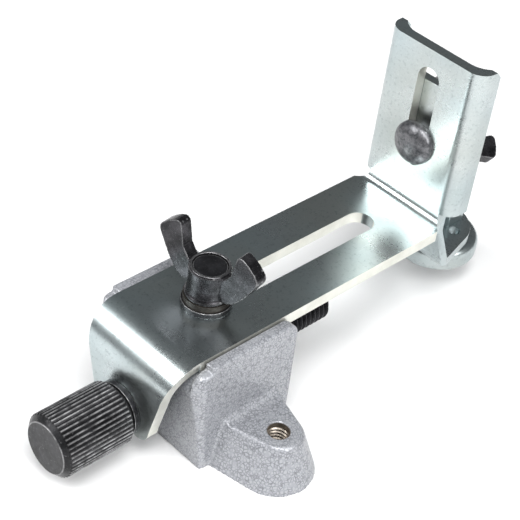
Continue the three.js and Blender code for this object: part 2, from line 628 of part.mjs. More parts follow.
function roundHeadBolt() {
  const tail = rearHub + HUB_H * NUT_SCALE + BOLT_TAIL - UPRIGHT_Y;
  const neckEnd = guideFront + GUIDE_T - 0.4 - UPRIGHT_Y;
  const dome = new THREE.Path();
  dome.moveTo(0, -BOLT_HEAD_H);
  dome.bezierCurveTo(3.2, -BOLT_HEAD_H, BOLT_HEAD_R - 0.2, -2.0, BOLT_HEAD_R, -0.4);
  const points = dome.getPoints(6).map((p) => [p.x, p.y]);
  points.push([BOLT_HEAD_R, 0], [0, 0]);
  const head = solid(onY(turned(points), 0, UPRIGHT_Y, BOLT_Z));
  const half = BOLT_NECK / 2;
  const neck = solid(box(-half, half, UPRIGHT_Y - 0.5, UPRIGHT_Y + neckEnd, BOLT_Z - half, BOLT_Z + half));
  const shank = turned([[0, -0.5], [M6_R, -0.5], [M6_R, tail - 0.6], [M6_R - 0.6, tail], [0, tail]]);
  return head.add(neck).add(solid(onY(shank, 0, UPRIGHT_Y, BOLT_Z)));
}

// ---------------------------------------------------------------- guide roller
const spacerBottom = TAB_BOTTOM - SPACER_T;
const rollerTop = spacerBottom - ROLLER_SHAKE;
const rollerBottom = rollerTop - ROLLER_H;

function guideRoller() {
  const edge = ROLLER_R - ROLLER_TOP_R;
  const rim = new THREE.Path();
  rim.moveTo(ROLLER_TOP_R, rollerTop);
  rim.absellipse(ROLLER_TOP_R, rollerTop - edge, edge, edge, Math.PI / 2, 0, true);
  rim.absellipse(ROLLER_TOP_R, rollerBottom + edge, edge, edge, 0, -Math.PI / 2, true);
  const outer = rim.getPoints(3).map((p) => [p.x, p.y]);
  const bore = SHOULDER_R + RUN;
  const floor = rollerBottom + ROLLER_RECESS;
  const profile = [
    [bore, floor], [bore, rollerTop], ...outer, [ROLLER_RECESS_R, rollerBottom],
    [ROLLER_RECESS_R, floor], [bore, floor],
  ];
  return solid(turned(profile.reverse())).translate([0, ROLLER_Y, 0]);
}

function rollerPivotScrew() {
  const shoulderFoot = rollerBottom + ROLLER_RECESS - ROLLER_SHAKE;
  const headFoot = shoulderFoot - PIVOT_HEAD_H;
  const top = TAB_BOTTOM + GUIDE_T + PIVOT_NUT_H + 0.8;
  const profile = [
    [0, headFoot], [PIVOT_HEAD_R - 0.3, headFoot], [PIVOT_HEAD_R, headFoot + 0.3],
    [PIVOT_HEAD_R, shoulderFoot], [SHOULDER_R, shoulderFoot], [SHOULDER_R, spacerBottom],
    [M6_R, spacerBottom], [M6_R, top - 0.5], [M6_R - 0.5, top], [0, top],
  ];
  const socket = solid(bar(SOCKET_R, headFoot - 1, headFoot + 1.5, 6));
  return solid(turned(profile)).subtract(socket).translate([0, ROLLER_Y, 0]);
}

function rollerSpacer() {
  const ring = solid(bar(SPACER_R, spacerBottom, TAB_BOTTOM));
  return ring.subtract(solid(bar(M6_R + 0.1, 0, 25))).translate([0, ROLLER_Y, 0]);
}

function rollerLockNut() {
  const foot = TAB_BOTTOM + GUIDE_T;
  const corner = PIVOT_NUT_FLATS / 2 / Math.cos(Math.PI / 6);
  const hex = solid(bar(corner, foot, foot + PIVOT_NUT_H, 6));
  const crown = turned([
    [0, foot - 1], [corner + 1, foot - 1], [corner + 1, foot + PIVOT_NUT_H - 1.6],
    [corner - 1.6, foot + PIVOT_NUT_H], [0, foot + PIVOT_NUT_H],
  ]);
  const bored = hex.intersect(solid(crown)).subtract(solid(bar(M6_R + RUN, foot - 1, foot + 10)));
  return bored.translate([0, ROLLER_Y, 0]);
}

// ---------------------------------------------------------------- assembly
piece('base_casting', baseCasting(), CASTING);
piece('slotted_bracket', slottedBracket(), ZINC);
piece('lead_screw', leadScrew(), BLACKED);
piece('knurled_knob', knurledKnob(), BLACKED);
piece('knob_grub_screw', knobGrubScrew(), BLACKED);
piece('thrust_washer', thrustWasher(), BLACKED);
piece('clamp_flat_washer', flatWasher().translate([0, 0, PLATE_TOP]), BLACKED);
piece('clamp_lock_washer', lockWasher().translate([0, 0, PLATE_TOP + M6_WASHER_T]), PHOSPHATE);
const clampWings = wingBody(M6_R + RUN, STUD_HEAD_R + RUN, recess);
piece('clamp_wing_head', clampWings.rotate([0, 0, WING_TURN]).translate([0, 0, hubFoot]), BLACK_CAST);
piece('clamp_stud', clampStud(), BLACKED);
piece('guide_plate', guidePlate(), ZINC);
piece('round_head_bolt', roundHeadBolt(), PHOSPHATE);
const toRear = (body, y, turn = 0) => body.rotate([0, 0, turn]).rotate([-90, 0, 0]).translate([0, y, BOLT_Z]);
piece('rear_flat_washer', toRear(flatWasher(), guideBack), BLACKED);
piece('rear_lock_washer', toRear(lockWasher(), guideBack + M6_WASHER_T), PHOSPHATE);
const rearWings = wingBody(M6_R + RUN, M6_R + 0.6, 0.5, NUT_SCALE);
piece('rear_wing_nut', toRear(rearWings, rearHub, -NUT_TURN), BLACK_CAST);
piece('guide_roller', guideRoller(), ZINC);
piece('roller_pivot_screw', rollerPivotScrew(), STEEL);
piece('roller_spacer', rollerSpacer(), STEEL);
piece('roller_lock_nut', rollerLockNut(), ZINC);

export default group;
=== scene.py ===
"""Looks for the screw-adjusted guide bracket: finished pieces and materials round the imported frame."""
import json
import math

import bmesh
import bpy
from bpy.props import FloatProperty, FloatVectorProperty, IntProperty, PointerProperty
from bpy.types import Operator, Panel, PropertyGroup
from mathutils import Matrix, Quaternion, Vector


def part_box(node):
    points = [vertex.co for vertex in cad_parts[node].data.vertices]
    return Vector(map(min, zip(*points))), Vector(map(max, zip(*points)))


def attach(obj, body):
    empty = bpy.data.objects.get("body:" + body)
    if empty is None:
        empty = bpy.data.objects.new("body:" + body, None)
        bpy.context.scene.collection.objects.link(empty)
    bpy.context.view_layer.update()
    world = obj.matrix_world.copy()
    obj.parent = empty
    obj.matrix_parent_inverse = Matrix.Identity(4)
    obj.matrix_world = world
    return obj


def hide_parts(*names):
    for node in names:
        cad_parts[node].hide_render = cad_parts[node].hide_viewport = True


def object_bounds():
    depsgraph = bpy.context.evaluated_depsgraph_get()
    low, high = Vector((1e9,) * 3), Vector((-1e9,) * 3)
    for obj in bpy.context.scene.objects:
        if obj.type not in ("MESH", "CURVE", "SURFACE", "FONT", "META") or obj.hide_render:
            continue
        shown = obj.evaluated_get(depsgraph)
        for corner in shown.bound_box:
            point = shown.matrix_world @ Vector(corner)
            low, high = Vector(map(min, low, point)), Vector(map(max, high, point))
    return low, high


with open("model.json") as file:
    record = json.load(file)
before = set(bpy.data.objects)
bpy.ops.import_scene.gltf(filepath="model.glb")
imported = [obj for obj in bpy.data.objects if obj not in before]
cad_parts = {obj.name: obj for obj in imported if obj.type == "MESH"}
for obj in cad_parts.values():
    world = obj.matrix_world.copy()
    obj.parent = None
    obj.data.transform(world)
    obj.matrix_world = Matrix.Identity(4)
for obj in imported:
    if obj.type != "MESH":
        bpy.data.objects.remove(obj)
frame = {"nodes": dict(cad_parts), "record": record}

bl_info = {
    "name": "Guide bracket",
    "version": (1, 0, 0),
    "blender": (4, 5, 0),
    "location": "3D View > Sidebar > Guide bracket",
    "description": "Builds the finished pieces of a screw-adjusted guide bracket",
    "category": "Object",
}

CAD_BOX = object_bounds()
MM = 0.001
NODES = frame["nodes"]
BODIES = frame["record"]["behaviour"]["bodies"]
BODY_OF = {node: body for body, members in BODIES.items() for node in members}
EAR_TOP = next(mount["pos_m"][2] for mount in frame["record"]["mounts"] if mount["name"] == "ear_top")
X_AXIS = Vector((1, 0, 0))
Y_AXIS = Vector((0, 1, 0))
Z_AXIS = Vector((0, 0, 1))

# ------------------------------------------------------------------ fixed sizes
WELD = 0.004 * MM                    # vertices of a CAD copy that lie nearer than this are one
SEAM_WELD = 0.0005 * MM              # the same, where a spun outline meets itself
THREAD_WELD = 0.002 * MM             # the same, between the turns of a thread
FLAT_ANGLE = math.radians(0.6)       # faces turned by less than this are one flat face

EAR_FOOT_RADIUS = 9.7 * MM           # from the middle of the ear's hole to the outside of its foot
EAR_LINING_GAP = 0.3 * MM            # how far the hole's lining stays inside the ear's two faces
EAR_LINING_INSIDE = 2.56 * MM
EAR_LINING_OUTSIDE = 2.80 * MM
EAR_THREAD_ROOT = 2.70 * MM
EAR_THREAD_CREST = 2.30 * MM

CUT_FACE = 0.5                       # a bracket face is a cut edge if its normal leans this far sideways
UPRIGHT_REACH = 4 * MM               # the upright's faces start this far in front of the guide plate
UPRIGHT_SLOT_HALF = 5 * MM           # on the upright, only the slot's cut edges lie this near its middle

FLANGE_TO_SHOULDER = 3.1 * MM        # from the flange's outer face to the end of the lead screw's thread
LEAD_CHAMFER = 0.9 * MM
JOURNAL_RADIUS = 3.2 * MM
JOURNAL_CHAMFER = 0.4 * MM
JOURNAL_STEPS = 48
KNURL_EDGE = 0.05 * MM               # broken edge of the knob and its knurl
GRUB_EDGE = 0.10 * MM

WASHER_TO_HEAD = 5.6 * MM            # from the rear flat washer to the flat underside of the bolt's head
DOME_STEPS = 14
DOME_RIM = 0.12                      # height of the dome's straight rim, as a part of the whole head
NECK_HALF = 3.1 * MM
NECK_LENGTH = 5.2 * MM
BOLT_RADIUS = 3.0 * MM
BOLT_CHAMFER = 0.6 * MM
ROOT_OVERLAP = 1 * MM                # how far a shank or journal runs on inside the body that it joins

FLOOR_GAP = 0.05 * MM
FLOOR_HALF = 3.0
LIGHT_AIM = Vector((0, 0.02, 0.03))
LIGHTS = (                           # name, place, width, power
    ("key", (-0.35, -0.55, 0.60), 0.45, 5.4),
    ("fill", (0.75, 0.05, 0.55), 0.60, 6.6),
    ("top", (0.28, -0.28, 0.88), 0.45, 7.6),
)
SKY_TINT = (0.93, 0.97, 1.0, 1)
SENSOR_WIDTH = 36


# ------------------------------------------------------------------ sizes and colours a user changes
class BracketSizes(PropertyGroup):
    cast_grain: FloatProperty(name="Cast grain", description="Spacing of the casting's surface mesh",
                              default=0.30 * MM, subtype="DISTANCE", unit="LENGTH")
    wing_grain: FloatProperty(name="Wing grain", description="Spacing of the wings' surface mesh",
                              default=0.16 * MM, subtype="DISTANCE", unit="LENGTH")
    sheet_edge: FloatProperty(name="Sheet edge", description="Broken edge of the sheet parts",
                              default=0.20 * MM, subtype="DISTANCE", unit="LENGTH")
    turned_edge: FloatProperty(name="Turned edge", description="Broken edge of washers and nuts",
                               default=0.15 * MM, subtype="DISTANCE", unit="LENGTH")
    lead_pitch: FloatProperty(name="Lead pitch", description="Pitch of the lead screw",
                              default=1.5 * MM, subtype="DISTANCE", unit="LENGTH")
    fastener_pitch: FloatProperty(name="Fastener pitch", description="Pitch of the small screws",
                                  default=1.0 * MM, subtype="DISTANCE", unit="LENGTH")
    thread_steps: IntProperty(name="Thread steps", description="Facets in one turn of a thread", default=36)
    turned_steps: IntProperty(name="Turned steps", description="Facets round a turned piece", default=96)


class BracketFinishes(PropertyGroup):
    zinc: FloatVectorProperty(name="Zinc", description="Bright zinc on the sheet", subtype="COLOR",
                              size=3, default=(0.56, 0.615, 0.625))
    zinc_shade: FloatVectorProperty(name="Zinc shade", description="Darker clouds in the zinc",
                                    subtype="COLOR", size=3, default=(0.42, 0.49, 0.50))
    cut_edge: FloatVectorProperty(name="Cut edge", description="Sheared edges of the sheet",
                                  subtype="COLOR", size=3, default=(0.80, 0.80, 0.74))
    paint_light: FloatVectorProperty(name="Paint", description="Light blobs of the hammered paint",
                                     subtype="COLOR", size=3, default=(0.37, 0.38, 0.405))
    paint_dark: FloatVectorProperty(name="Paint veins", description="Dark veins of the hammered paint",
                                    subtype="COLOR", size=3, default=(0.13, 0.135, 0.15))
    black: FloatVectorProperty(name="Black oxide", description="Blacked steel", subtype="COLOR",
                               size=3, default=(0.018, 0.018, 0.020))
    phosphate: FloatVectorProperty(name="Phosphate", description="Grey phosphate steel", subtype="COLOR",
                                   size=3, default=(0.060, 0.062, 0.068))
    steel: FloatVectorProperty(name="Bright steel", description="Turned steel", subtype="COLOR",
                               size=3, default=(0.50, 0.51, 0.52))


class BracketStudio(PropertyGroup):
    azimuth: FloatProperty(name="Azimuth", description="Camera's turn round the part",
                           default=math.radians(40.81), subtype="ANGLE", unit="ROTATION")
    elevation: FloatProperty(name="Elevation", description="Camera's height angle",
                             default=math.radians(38.66), subtype="ANGLE", unit="ROTATION")
    roll: FloatProperty(name="Roll", description="Camera's turn about its view line",
                        default=math.radians(8.57), subtype="ANGLE", unit="ROTATION")
    distance: FloatProperty(name="Distance", description="Camera's distance from its target",
                            default=347.3 * MM, subtype="DISTANCE", unit="LENGTH")
    target: FloatVectorProperty(name="Target", description="Point that the camera looks at",
                                default=(-5.75 * MM, 22.68 * MM, 27.40 * MM), subtype="TRANSLATION", size=3)
    lens: FloatProperty(name="Lens", description="Focal length in millimetres on a 36 mm sensor",
                        default=102.57)
    floor_tone: FloatProperty(name="Floor tone", description="Brightness of the floor", default=0.86)
    sky: FloatProperty(name="Sky", description="Strength of the even light from all round", default=0.15)


def sizes():
    return bpy.context.scene.bracket_sizes


def finishes():
    return bpy.context.scene.bracket_finishes


# ------------------------------------------------------------------ material helpers
class Net:
    """A material's node tree, with short calls for adding nodes."""

    def __init__(self, name):
        self.material = bpy.data.materials.new(name)
        self.material.use_nodes = True
        self.tree = self.material.node_tree
        self.tree.nodes.clear()
        self.shader = self.node("ShaderNodeBsdfPrincipled")
        out = self.node("ShaderNodeOutputMaterial")
        self.tree.links.new(self.shader.outputs[0], out.inputs[0])
        self.place = self.node("ShaderNodeTexCoord").outputs["Object"]

    def node(self, kind, **settings):
        made = self.tree.nodes.new(kind)
        for key, value in settings.items():
            setattr(made, key, value)
        return made

    def put(self, socket, value):
        if isinstance(value, bpy.types.NodeSocket):
            self.tree.links.new(value, socket)
        elif hasattr(value, "__len__") and len(value) == 3 and len(socket.default_value) == 4:
            socket.default_value = (*value, 1)
        else:
            socket.default_value = value

    def noise(self, scale, detail=3, roughness=0.55, stretch=None, distortion=0.0):
        made = self.node("ShaderNodeTexNoise")
        self.put(made.inputs["Vector"], self.stretched(stretch) if stretch else self.place)
        made.inputs["Scale"].default_value = scale
        made.inputs["Detail"].default_value = detail
        made.inputs["Roughness"].default_value = roughness
        made.inputs["Distortion"].default_value = distortion
        return made.outputs["Fac"]

    def stretched(self, stretch):
        made = self.node("ShaderNodeMapping")
        self.put(made.inputs["Vector"], self.place)
        made.inputs["Scale"].default_value = stretch
        return made.outputs[0]

    def math(self, operation, a, b=0.0):
        made = self.node("ShaderNodeMath", operation=operation)
        for socket, value in zip(made.inputs, (a, b)):
            self.put(socket, value)
        return made.outputs[0]

    def span(self, value, low, high, to_low=0.0, to_high=1.0):
        made = self.node("ShaderNodeMapRange", clamp=True)
        for socket, number in zip(made.inputs, (value, low, high, to_low, to_high)):
            self.put(socket, number)
        return made.outputs[0]

    def mix(self, factor, a, b):
        made = self.node("ShaderNodeMix", data_type="RGBA")
        self.put(made.inputs[0], factor)
        self.put(made.inputs[6], a)
        self.put(made.inputs[7], b)
        return made.outputs[2]

    def bump(self, height, depth, strength):
        made = self.node("ShaderNodeBump")
        made.inputs["Strength"].default_value = strength
        made.inputs["Distance"].default_value = depth
        self.put(made.inputs["Height"], height)
        return made.outputs[0]

    def finish(self, color, roughness, metallic, normal=None, fixed=None):
        self.put(self.shader.inputs["Base Color"], color)
        self.put(self.shader.inputs["Roughness"], roughness)
        self.shader.inputs["Metallic"].default_value = metallic
        if normal is not None:
            self.put(self.shader.inputs["Normal"], normal)
        for key, value in (fixed or {}).items():
            self.shader.inputs[key].default_value = value
        return self.material


# ------------------------------------------------------------------ materials
def zinc_sheet():
    """Bright zinc with darker clouds, yellowish tarnish, pits and fine hairs."""
    net = Net("bright_zinc")
    clouds = net.span(net.noise(60, 3, 0.5), 0.30, 0.72)
    tarnish = net.span(net.noise(34, 2, 0.5), 0.42, 0.66)
    grain = net.noise(1700, 3, 0.6)
    speckle = net.span(net.noise(2600, 2, 0.7), 0.60, 0.72)
    color = net.mix(clouds, finishes().zinc, finishes().zinc_shade)
    color = net.mix(net.math("MULTIPLY", tarnish, 0.35), color, (0.50, 0.48, 0.42))
    color = net.mix(net.math("MULTIPLY", speckle, 0.35), color, (0.74, 0.78, 0.78))
    pits = net.span(net.noise(1150, 4, 0.7), 0.54, 0.70)
    color = net.mix(net.math("MULTIPLY", pits, 0.5), color, (0.22, 0.26, 0.27))
    hairs = net.span(net.noise(420, 2, 0.5, stretch=(5, 0.35, 5), distortion=0.3), 0.66, 0.74)
    color = net.mix(net.math("MULTIPLY", hairs, 0.18), color, (0.78, 0.82, 0.82))
    roughness = net.span(net.math("ADD", clouds, net.math("MULTIPLY", grain, 0.6)), 0.2, 1.4, 0.23, 0.36)
    return net.finish(color, roughness, 1.0, net.bump(grain, 0.004 * MM, 0.3))


def sheared_edge():
    """Pale sheared edge of the sheet, with drag marks through its thickness."""
    net = Net("sheared_edge")
    drag = net.noise(1500, 3, 0.6, stretch=(1, 1, 0.3))
    tone = net.span(net.noise(180, 3), 0.35, 0.7)
    color = net.mix(tone, finishes().cut_edge, (0.66, 0.66, 0.60))
    rough = net.span(drag, 0.3, 0.7, 0.34, 0.48)
    return net.finish(color, rough, 0.85, net.bump(drag, 0.012 * MM, 0.4))


def hammered_paint():
    """Hammered paint: light blobs with broken dark veins between them."""
    net = Net("hammered_paint")
    wander = net.node("ShaderNodeTexNoise")
    net.put(wander.inputs["Vector"], net.place)
    wander.inputs["Scale"].default_value = 900
    wander.inputs["Detail"].default_value = 2
    moved = net.node("ShaderNodeVectorMath", operation="MULTIPLY_ADD")
    net.put(moved.inputs[0], wander.outputs["Color"])
    moved.inputs[1].default_value = (0.8 * MM,) * 3
    net.put(moved.inputs[2], net.place)
    cells = net.node("ShaderNodeTexVoronoi", feature="DISTANCE_TO_EDGE")
    net.put(cells.inputs["Vector"], moved.outputs[0])
    cells.inputs["Scale"].default_value = 1350
    blob = net.span(cells.outputs["Distance"], 0.0, 0.20)
    broken = net.span(net.noise(700, 2, 0.6), 0.40, 0.62)
    blob = net.math("MAXIMUM", blob, net.math("MULTIPLY", broken, 0.75))
    tone = net.span(net.noise(110, 3), 0.3, 0.7, 0.0, 0.35)
    color = net.mix(blob, finishes().paint_dark, finishes().paint_light)
    color = net.mix(tone, color, (0.29, 0.295, 0.315))
    height = net.math("ADD", blob, net.math("MULTIPLY", net.noise(500, 2), 0.5))
    roughness = net.span(blob, 0.0, 1.0, 0.46, 0.34)
    return net.finish(color, roughness, 0.25, net.bump(height, 0.035 * MM, 0.5),
                      fixed={"Coat Weight": 0.2, "Coat Roughness": 0.22})


def blacked_steel():
    """Black oxide with greyer blotches and small bright specks."""
    net = Net("blacked_steel")
    blotch = net.span(net.noise(240, 4, 0.6), 0.42, 0.72)
    fine = net.noise(2200, 3, 0.6)
    color = net.mix(blotch, finishes().black, tuple(2.6 * c for c in finishes().black))
    specks = net.span(fine, 0.62, 0.72)
    color = net.mix(net.math("MULTIPLY", specks, 0.35), color, (0.22, 0.22, 0.225))
    rough = net.span(net.noise(900, 3), 0.3, 0.7, 0.24, 0.42)
    return net.finish(color, rough, 0.65, net.bump(fine, 0.02 * MM, 0.4))


def worn_edge():
    """Broken edge of a blacked washer, rubbed bright in places."""
    net = Net("worn_edge")
    rub = net.span(net.noise(700, 3, 0.6), 0.35, 0.62)
    color = net.mix(rub, (0.07, 0.07, 0.072), (0.34, 0.34, 0.345))
    rough = net.span(net.noise(1800, 2), 0.3, 0.7, 0.24, 0.38)
    return net.finish(color, rough, 0.85, net.bump(rub, 0.01 * MM, 0.4))


def knurled_black():
    """Black oxide on the knob; the knurl's crests and a thin ring round its face's rim are painted light,
    partly rubbed wear and partly a painted highlight.
    """
    low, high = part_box("knurled_knob")
    crest = (high.z - low.z) / 2
    net = Net("knurled_black")
    blotch = net.span(net.noise(260, 4, 0.65), 0.40, 0.70)
    color = net.mix(blotch, (0.010, 0.010, 0.011), (0.034, 0.034, 0.037))
    specks = net.span(net.noise(1900, 3, 0.65), 0.60, 0.72)
    color = net.mix(net.math("MULTIPLY", specks, 0.45), color, (0.20, 0.20, 0.205))
    apart = net.node("ShaderNodeSeparateXYZ")
    net.put(apart.inputs[0], net.place)
    rise = net.math("SUBTRACT", apart.outputs["Z"], (high.z + low.z) / 2)
    across = net.math("POWER", apart.outputs["X"], 2.0)
    radius = net.math("SQRT", net.math("ADD", across, net.math("POWER", rise, 2.0)))
    top = net.span(radius, crest - 0.24 * MM, crest - 0.04 * MM)
    off_rim = net.math("ABSOLUTE", net.math("SUBTRACT", radius, crest - 1.5 * MM))
    # thin lighter ring round the face: a painted highlight, partly rubbed wear
    face_ring_wear_and_highlight = net.span(off_rim, 0.06 * MM, 0.20 * MM, 0.8, 0.0)
    rub = net.span(net.noise(480, 4, 0.7), 0.36, 0.60, 0.15, 1.0)
    # crests and face ring painted light: partly rubbed wear, partly a painted highlight
    worn = net.math("MULTIPLY", net.math("MAXIMUM", top, face_ring_wear_and_highlight), rub)
    color = net.mix(worn, color, (0.36, 0.36, 0.365))
    rough = net.span(net.noise(900, 3), 0.3, 0.7, 0.30, 0.46)
    return net.finish(color, rough, 0.6, net.bump(net.noise(2200, 3), 0.02 * MM, 0.4))


def black_casting():
    """Black oxide on the cast wings, rubbed grey along their edges."""
    net = Net("blacked_casting")
    sand = net.noise(1500, 4, 0.65)
    blotch = net.span(net.noise(320, 3), 0.40, 0.70)
    color = net.mix(blotch, finishes().black, (0.062, 0.060, 0.066))
    specks = net.span(net.noise(2600, 2, 0.7), 0.62, 0.74)
    color = net.mix(net.math("MULTIPLY", specks, 0.5), color, (0.20, 0.20, 0.21))
    worn = net.span(net.node("ShaderNodeNewGeometry").outputs["Pointiness"], 0.512, 0.548)
    rub = net.span(net.noise(600, 3, 0.6), 0.32, 0.62, 0.3, 1.0)
    color = net.mix(net.math("MULTIPLY", worn, rub), color, (0.24, 0.24, 0.245))
    rough = net.span(sand, 0.3, 0.7, 0.20, 0.36)
    return net.finish(color, rough, 0.75, net.bump(sand, 0.04 * MM, 0.45))


def phosphate_steel():
    """Dark grey phosphate with fine crystals."""
    net = Net("phosphate_steel")
    crystal = net.node("ShaderNodeTexVoronoi")
    net.put(crystal.inputs["Vector"], net.place)
    crystal.inputs["Scale"].default_value = 1700
    blotch = net.span(net.noise(850, 4, 0.7), 0.38, 0.62)
    color = net.mix(blotch, finishes().phosphate, (0.19, 0.19, 0.20))
    color = net.mix(net.span(crystal.outputs["Distance"], 0.0, 0.6, 0.35, 0.0), color, (0.03, 0.031, 0.034))
    rough = net.span(crystal.outputs["Distance"], 0.0, 0.7, 0.26, 0.40)
    return net.finish(color, rough, 0.7, net.bump(net.noise(1900, 3), 0.02 * MM, 0.4),
                      fixed={"Coat Weight": 0.3, "Coat Roughness": 0.18})


def lock_black():
    """Brownish black of the split lock washers."""
    net = Net("lock_black")
    blotch = net.span(net.noise(500, 3, 0.6), 0.35, 0.68)
    color = net.mix(blotch, (0.020, 0.017, 0.014), (0.060, 0.052, 0.045))
    rough = net.span(net.noise(1400, 3), 0.3, 0.7, 0.34, 0.52)
    return net.finish(color, rough, 0.6, net.bump(blotch, 0.02 * MM, 0.4))


def turned_steel():
    """Bright steel with fine turning lines."""
    net = Net("turned_steel")
    lines = net.noise(3200, 3, 0.6, stretch=(1, 1, 0.2))
    tone = net.span(net.noise(200, 3), 0.3, 0.7)
    color = net.mix(tone, finishes().steel, (0.38, 0.39, 0.40))
    rough = net.span(lines, 0.3, 0.7, 0.22, 0.40)
    return net.finish(color, rough, 1.0, net.bump(lines, 0.01 * MM, 0.5))


def tapped_metal():
    """Bare metal in the ear's tapped hole."""
    net = Net("tapped_metal")
    chatter = net.noise(2400, 3)
    color = net.mix(net.span(net.noise(600, 2), 0.3, 0.7), (0.46, 0.41, 0.35), (0.24, 0.21, 0.18))
    rough = net.span(chatter, 0.3, 0.7, 0.25, 0.45)
    return net.finish(color, rough, 0.9, net.bump(chatter, 0.02 * MM, 0.5))


MAKERS = {
    "zinc": zinc_sheet, "edge": sheared_edge, "paint": hammered_paint, "black": blacked_steel,
    "worn": worn_edge, "knurl": knurled_black, "wings": black_casting, "phosphate": phosphate_steel,
    "lock": lock_black, "steel": turned_steel, "tapped": tapped_metal,
}
MADE = {}


def material(key):
    """The material of that key, made when it's first asked for."""
    if key not in MADE:
        MADE[key] = MAKERS[key]()
    return MADE[key]


# ------------------------------------------------------------------ mesh helpers
def copied(node):
    """A merged copy of a CAD node's mesh, flat regions joined."""
    bm = bmesh.new()
    bm.from_mesh(NODES[node].data)
    bmesh.ops.remove_doubles(bm, verts=bm.verts, dist=WELD)
    bmesh.ops.dissolve_limit(bm, angle_limit=FLAT_ANGLE, verts=bm.verts, edges=bm.edges)
    return bm


def piece(name, bm, node, keys, smooth_angle=35, stands_in=True):
    """Turns a bmesh into a finished piece that stands for a CAD node, or lies beside it."""
    mesh = bpy.data.meshes.new(name)
    bm.to_mesh(mesh)
    bm.free()
    made = bpy.data.objects.new(name, mesh)
    bpy.context.collection.objects.link(made)
    for key in keys:
        mesh.materials.append(material(key))
    mesh.shade_smooth()
    mesh.set_sharp_from_angle(angle=math.radians(smooth_angle))
    shading = made.modifiers.new("flat faces stay flat", "WEIGHTED_NORMAL")
    shading.keep_sharp = True
    shading.weight = 100
    if stands_in:
        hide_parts(node)
    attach(made, BODY_OF[node])
    return made


def broken_edges(bm, width, angle=30, segments=2, worn=None):
    """Bevels every edge sharper than the angle; the new faces may take another material."""
    sharp = [e for e in bm.edges if len(e.link_faces) == 2 and e.calc_face_angle(0) > math.radians(angle)]
    made = bmesh.ops.bevel(bm, geom=sharp, offset=width, offset_type="OFFSET", affect="EDGES",
                           segments=segments, profile=0.5, material=-1, clamp_overlap=True)
    if worn is not None:
        for face in made["faces"]:
            face.material_index = worn
    return bm


def modified(name, bm, *steps):
    """Runs modifiers over a bmesh and returns the result as a new bmesh."""
    mesh = bpy.data.meshes.new(name)
    bm.to_mesh(mesh)
    bm.free()
    work = bpy.data.objects.new(name, mesh)
    bpy.context.collection.objects.link(work)
    for kind, settings in steps:
        modifier = work.modifiers.new(kind.lower(), kind)
        for key, value in settings.items():
            setattr(modifier, key, value)
    solid = bpy.data.meshes.new_from_object(work.evaluated_get(bpy.context.evaluated_depsgraph_get()))
    bpy.data.objects.remove(work)
    out = bmesh.new()
    out.from_mesh(solid)
    bpy.data.meshes.remove(solid)
    return out


def cast_skin(name, node, grain, rounds):
    """A CAD node's shape with softly rounded edges and corners, as a casting has."""
    return modified(name, copied(node),
                    ("REMESH", {"mode": "VOXEL", "voxel_size": grain, "use_smooth_shade": True}),
                    ("SMOOTH", {"factor": 0.5, "iterations": rounds}))


def spun(outline, axis_point, axis, steps):
    """A turned body: an outline of (radius, height) spun round an axis through a point."""
    bm = bmesh.new()
    side = axis.orthogonal().normalized()
    verts = [bm.verts.new(axis_point + side * r + axis * h) for r, h in outline]
    edges = [bm.edges.new(pair) for pair in zip(verts, verts[1:])]
    ends_off_axis = outline[0][0] > 0 or outline[-1][0] > 0
    if ends_off_axis:
        edges.append(bm.edges.new((verts[-1], verts[0])))
    bmesh.ops.spin(bm, geom=verts + edges, cent=axis_point, axis=axis, angle=math.tau, steps=steps,
                   use_merge=True)
    bmesh.ops.remove_doubles(bm, verts=bm.verts, dist=SEAM_WELD)
    bmesh.ops.recalc_face_normals(bm, faces=bm.faces)
    return bm


def thread(radius, pitch, low, high, axis_point, axis, chamfer):
    """A helical thread round an axis, cut square at both ends, with chamfered ends."""
    depth = 0.61 * pitch
    root = radius - depth
    shoulder = radius - 0.08 * depth
    steps = sizes().thread_steps
    turns = math.ceil((high - low) / pitch) + 2
    side = axis.orthogonal().normalized()
    # one tooth, as (radius, part of the pitch)
    tooth = [(root, 0), (root, 0.22), (shoulder, 0.50), (radius, 0.54), (radius, 0.64), (shoulder, 0.68),
             (root, 0.96), (root, 1.0)]
    bm = bmesh.new()
    start = low - pitch
    verts = [bm.verts.new(axis_point + side * r + axis * (start + z * pitch)) for r, z in tooth]
    edges = [bm.edges.new(pair) for pair in zip(verts, verts[1:])]
    bmesh.ops.spin(bm, geom=verts + edges, cent=axis_point, axis=axis, dvec=axis * (pitch / steps),
                   angle=math.tau * turns, steps=steps * turns, use_merge=False)
    bmesh.ops.remove_doubles(bm, verts=bm.verts, dist=THREAD_WELD)
    for height, outward in ((low, -axis), (high, axis)):
        everything = bm.verts[:] + bm.edges[:] + bm.faces[:]
        bmesh.ops.bisect_plane(bm, geom=everything, plane_co=axis_point + axis * height,
                               plane_no=outward, clear_outer=True)
    bmesh.ops.remove_doubles(bm, verts=bm.verts, dist=THREAD_WELD)
    bmesh.ops.holes_fill(bm, edges=[e for e in bm.edges if e.is_boundary], sides=0)
    for vert in bm.verts:
        offset = vert.co - axis_point
        height = offset.dot(axis)
        radial = offset - axis * height
        room = min(height - low, high - height)
        limit = radius - max(0.0, chamfer - room)
        if radial.length > limit:
            vert.co = axis_point + axis * height + radial.normalized() * limit
    bmesh.ops.recalc_face_normals(bm, faces=bm.faces)
    return bm


def joined(*parts):
    """Several closed bodies in one bmesh."""
    whole = bmesh.new()
    for part in parts:
        mesh = bpy.data.meshes.new("part")
        part.to_mesh(mesh)
        part.free()
        whole.from_mesh(mesh)
        bpy.data.meshes.remove(mesh)
    return whole


# ------------------------------------------------------------------ operators, one for each group of pieces
class PieceOperator:
    """What the operators share: each builds its own pieces."""
    bl_options = {"REGISTER", "UNDO"}

    def execute(self, context):
        self.build()
        return {"FINISHED"}


